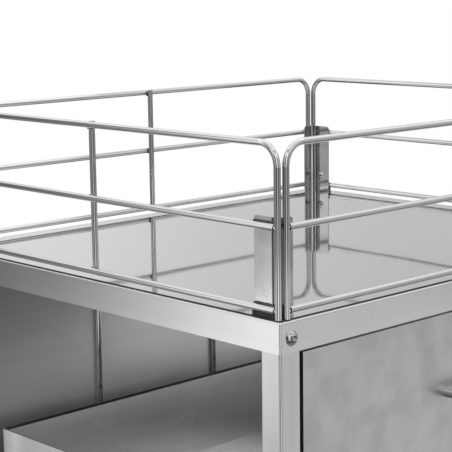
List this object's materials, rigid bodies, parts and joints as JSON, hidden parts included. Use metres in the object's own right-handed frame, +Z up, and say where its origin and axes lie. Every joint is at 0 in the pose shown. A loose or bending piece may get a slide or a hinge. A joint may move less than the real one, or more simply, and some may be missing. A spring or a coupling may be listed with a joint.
{
  "type": "shelf trolley",
  "caption": "Square-post trolley with a railed, rimmed deck, a flush drawer in a bay open at both sides, a lower shelf and swivel castors.",
  "frame": {"origin": "middle of the footprint, on the floor", "axes": "+Z up, the drawer opens towards -Y, +X to the right seen from the front"},
  "size_m": [0.6286, 0.572, 0.9861],
  "materials": {
    "brushed": "satin stainless sheet and tube",
    "polished": "mirror-polished stainless steel",
    "zinc": "bright zinc plate",
    "black_metal": "black powder coat",
    "black_plastic": "matte moulded",
    "grey_nylon": "moulded nylon",
    "grey_rubber": "non-marking rubber"
  },
  "bodies": {
    "frame": {"deck_pan": "brushed", "deck_plate": "polished", "pan_stiffeners": "brushed", "lower_shelf": "brushed", "post_front_left": "brushed", "post_front_right": "brushed", "post_rear_left": "brushed", "post_rear_right": "brushed", "frame_screws": "polished", "weld_nuts": "zinc", "guard_rail_front": "polished", "guard_rail_rear": "polished", "guard_rail_left": "polished", "guard_rail_right": "polished", "bracket_front_left": "polished", "bracket_front_right": "polished", "bracket_rear_left": "polished", "bracket_rear_right": "polished", "bracket_screws": "polished", "bracket_pads": "black_plastic", "side_rail_left": "brushed", "side_rail_right": "brushed", "front_rail": "brushed", "rear_rail": "brushed", "back_panel": "brushed", "back_rods": "polished", "slide_outer_left": "zinc", "slide_outer_right": "zinc", "post_plugs": "black_plastic", "swivel_head_front_left": "zinc", "swivel_head_front_right": "zinc", "swivel_head_rear_left": "zinc", "swivel_head_rear_right": "zinc"},
    "drawer": {"drawer_front": "brushed", "drawer_box": "brushed", "drawer_handle": "polished", "handle_screws": "zinc", "slide_inner_left": "zinc", "slide_inner_right": "zinc"},
    "slide_middle_left": {"slide_middle_left": "zinc"},
    "slide_middle_right": {"slide_middle_right": "zinc"},
    "castor_front_left": {"fork_front_left": "zinc", "axle_front_left": "zinc"},
    "wheel_front_left": {"wheel_core_front_left": "grey_nylon", "tyre_front_left": "grey_rubber"},
    "brake_front_left": {"brake_pedal_front_left": "black_metal"},
    "castor_front_right": {"fork_front_right": "zinc", "axle_front_right": "zinc"},
    "wheel_front_right": {"wheel_core_front_right": "grey_nylon", "tyre_front_right": "grey_rubber"},
    "brake_front_right": {"brake_pedal_front_right": "black_metal"},
    "castor_rear_left": {"fork_rear_left": "zinc", "axle_rear_left": "zinc"},
    "wheel_rear_left": {"wheel_core_rear_left": "grey_nylon", "tyre_rear_left": "grey_rubber"},
    "castor_rear_right": {"fork_rear_right": "zinc", "axle_rear_right": "zinc"},
    "wheel_rear_right": {"wheel_core_rear_right": "grey_nylon", "tyre_rear_right": "grey_rubber"}
  },
  "joints": [
    {"name": "drawer_slide", "type": "slide", "parent": "frame", "child": "drawer", "axis": [0, -1, 0], "range_m": [0, 0.4]},
    {"name": "slide_middle_left_slide", "type": "slide", "parent": "frame", "child": "slide_middle_left", "axis": [0, -1, 0], "range_m": [0, 0.2]},
    {"name": "slide_middle_right_slide", "type": "slide", "parent": "frame", "child": "slide_middle_right", "axis": [0, -1, 0], "range_m": [0, 0.2]},
    {"name": "swivel_front_left", "type": "hinge", "parent": "frame", "child": "castor_front_left", "pos_m": [-0.2863, -0.24255, 0.109], "axis": [0, 0, 1], "continuous": true},
    {"name": "wheel_spin_front_left", "type": "hinge", "parent": "castor_front_left", "child": "wheel_front_left", "pos_m": [-0.2523, -0.24255, 0.05], "axis": [0, 1, 0], "continuous": true},
    {"name": "brake_front_left_press", "type": "hinge", "parent": "castor_front_left", "child": "brake_front_left", "pos_m": [-0.2133, -0.24255, 0.093], "axis": [0, 1, 0], "range_deg": [0, 30]},
    {"name": "swivel_front_right", "type": "hinge", "parent": "frame", "child": "castor_front_right", "pos_m": [0.2863, -0.24255, 0.109], "axis": [0, 0, 1], "continuous": true},
    {"name": "wheel_spin_front_right", "type": "hinge", "parent": "castor_front_right", "child": "wheel_front_right", "pos_m": [0.2523, -0.24255, 0.05], "axis": [0, 1, 0], "continuous": true},
    {"name": "brake_front_right_press", "type": "hinge", "parent": "castor_front_right", "child": "brake_front_right", "pos_m": [0.2133, -0.24255, 0.093], "axis": [0, -1, 0], "range_deg": [0, 30]},
    {"name": "swivel_rear_left", "type": "hinge", "parent": "frame", "child": "castor_rear_left", "pos_m": [-0.2863, 0.25805, 0.109], "axis": [0, 0, 1], "continuous": true},
    {"name": "wheel_spin_rear_left", "type": "hinge", "parent": "castor_rear_left", "child": "wheel_rear_left", "pos_m": [-0.2523, 0.25805, 0.05], "axis": [0, 1, 0], "continuous": true},
    {"name": "swivel_rear_right", "type": "hinge", "parent": "frame", "child": "castor_rear_right", "pos_m": [0.2863, 0.25805, 0.109], "axis": [0, 0, 1], "continuous": true},
    {"name": "wheel_spin_rear_right", "type": "hinge", "parent": "castor_rear_right", "child": "wheel_rear_right", "pos_m": [0.2523, 0.25805, 0.05], "axis": [0, 1, 0], "continuous": true}
  ],
  "couplings": [
    {"joint": "slide_middle_left_slide", "follows": "drawer_slide", "ratio": 0.5},
    {"joint": "slide_middle_right_slide", "follows": "drawer_slide", "ratio": 0.5}
  ]
}
